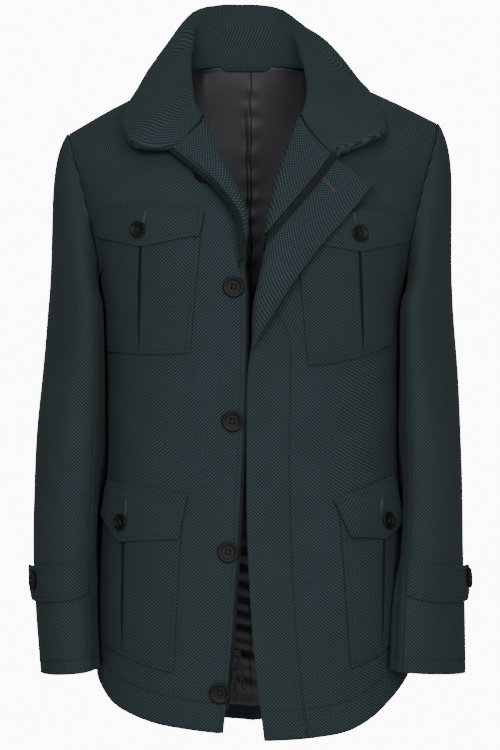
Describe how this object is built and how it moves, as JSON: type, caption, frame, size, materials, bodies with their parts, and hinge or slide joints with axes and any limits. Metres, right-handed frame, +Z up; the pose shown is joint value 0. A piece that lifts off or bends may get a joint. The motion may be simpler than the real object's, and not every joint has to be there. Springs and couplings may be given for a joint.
{
  "type": "field jacket",
  "caption": "Hip-length wool field jacket filled out with no wearer, its fronts and collar folded open, with patch pockets, buttons and an open zip.",
  "frame": {"origin": "middle of the neck's base, level with the shoulder line, where the wearer's neck and shoulders hold the jacket up", "axes": "+X to the wearer's left, -Y to the wearer's front, +Z up"},
  "size_m": [0.5383, 0.2749, 0.9051],
  "materials": {
    "teal_wool": "dark teal wool in a small birdseye weave, matt with a soft nap",
    "charcoal_satin": "charcoal satin lining with soft highlights",
    "zip_tape": "black woven tape, matt",
    "button_black": "polished dark charcoal resin",
    "gunmetal": "dark gunmetal plating, satin"
  },
  "bodies": {
    "garment": {"back": "teal_wool", "button_chest_left": "button_black", "button_chest_right": "button_black", "button_front_1": "button_black", "button_front_2": "button_black", "button_front_3": "button_black", "button_front_4": "button_black", "button_front_5": "button_black", "button_hip_left": "button_black", "button_hip_right": "button_black", "button_tab_left": "button_black", "button_tab_right": "button_black", "collar": "teal_wool", "collar_facing": "teal_wool", "cuff_tab_left": "teal_wool", "cuff_tab_right": "teal_wool", "facing_left": "teal_wool", "facing_right": "teal_wool", "flap_chest_left": "teal_wool", "flap_chest_right": "teal_wool", "flap_hip_left": "teal_wool", "flap_hip_right": "teal_wool", "front_left": "teal_wool", "front_right": "teal_wool", "hanger_patch": "teal_wool", "lining_back": "charcoal_satin", "placket_left": "teal_wool", "pocket_chest_left": "teal_wool", "pocket_chest_right": "teal_wool", "pocket_hip_left": "teal_wool", "pocket_hip_right": "teal_wool", "sleeve_under_left": "teal_wool", "sleeve_under_right": "teal_wool", "sleeve_upper_left": "teal_wool", "sleeve_upper_right": "teal_wool", "zip_slider_lower": "gunmetal", "zip_slider_upper": "gunmetal", "zip_tape_left": "zip_tape", "zip_tape_right": "zip_tape"},
    "pull_upper": {"zip_pull_upper": "gunmetal"},
    "pull_lower": {"zip_pull_lower": "gunmetal"}
  },
  "joints": [
    {"name": "pull_upper_lift", "type": "hinge", "parent": "garment", "child": "pull_upper", "pos_m": [-0.0186, -0.13542, -0.68], "axis": [-0.9781, 0, -0.2079], "range_deg": [0, 110]},
    {"name": "pull_lower_lift", "type": "hinge", "parent": "garment", "child": "pull_lower", "pos_m": [-0.0214, -0.13556, -0.6935], "axis": [-1, 0, 0], "range_deg": [0, 110]}
  ]
}
